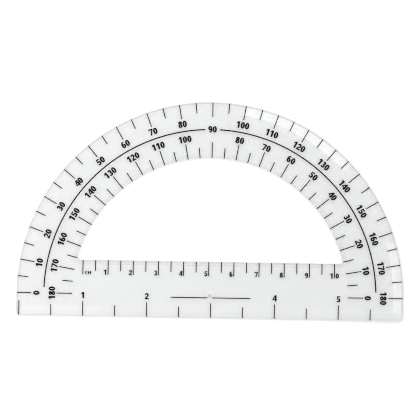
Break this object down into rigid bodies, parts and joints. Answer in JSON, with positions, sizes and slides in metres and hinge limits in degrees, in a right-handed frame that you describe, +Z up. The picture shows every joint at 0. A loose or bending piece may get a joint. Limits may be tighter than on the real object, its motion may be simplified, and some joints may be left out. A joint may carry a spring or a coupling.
{
  "type": "protractor",
  "caption": "Half-round clear plastic protractor with a D-shaped window, degree scales both ways round, and ruler scales on its straight edges.",
  "frame": {"origin": "the centre that the degree marks point to, on the underside of the plate", "axes": "+X along the zero line to the right as the numbers are read, +Y to the 90 degree mark, +Z up off the paper"},
  "size_m": [0.1538, 0.0859, 0.0016],
  "materials": {
    "clear_plastic": "clear, polished as moulded",
    "black_ink": "printed film, slightly matte"
  },
  "bodies": {
    "root": {"clear_plate": "clear_plastic", "outer_mark_000": "black_ink", "outer_mark_010": "black_ink", "outer_mark_020": "black_ink", "outer_mark_030": "black_ink", "outer_mark_040": "black_ink", "outer_mark_050": "black_ink", "outer_mark_060": "black_ink", "outer_mark_070": "black_ink", "outer_mark_080": "black_ink", "outer_mark_090": "black_ink", "outer_mark_100": "black_ink", "outer_mark_110": "black_ink", "outer_mark_120": "black_ink", "outer_mark_130": "black_ink", "outer_mark_140": "black_ink", "outer_mark_150": "black_ink", "outer_mark_160": "black_ink", "outer_mark_170": "black_ink", "outer_mark_180": "black_ink", "inner_mark_000": "black_ink", "inner_mark_010": "black_ink", "inner_mark_020": "black_ink", "inner_mark_030": "black_ink", "inner_mark_040": "black_ink", "inner_mark_050": "black_ink", "inner_mark_060": "black_ink", "inner_mark_070": "black_ink", "inner_mark_080": "black_ink", "inner_mark_090": "black_ink", "inner_mark_100": "black_ink", "inner_mark_110": "black_ink", "inner_mark_120": "black_ink", "inner_mark_130": "black_ink", "inner_mark_140": "black_ink", "inner_mark_150": "black_ink", "inner_mark_160": "black_ink", "inner_mark_170": "black_ink", "inner_mark_180": "black_ink", "centimetre_mark_00": "black_ink", "centimetre_mark_01": "black_ink", "centimetre_mark_02": "black_ink", "centimetre_mark_03": "black_ink", "centimetre_mark_04": "black_ink", "centimetre_mark_05": "black_ink", "centimetre_mark_06": "black_ink", "centimetre_mark_07": "black_ink", "centimetre_mark_08": "black_ink", "centimetre_mark_09": "black_ink", "centimetre_mark_10": "black_ink", "inch_mark_0": "black_ink", "inch_mark_1": "black_ink", "inch_mark_2": "black_ink", "inch_mark_3": "black_ink", "inch_mark_4": "black_ink", "inch_mark_5": "black_ink", "dividing_arc_left": "black_ink", "dividing_arc_right": "black_ink", "base_line_left": "black_ink", "base_line_right": "black_ink"}
  },
  "joints": []
}
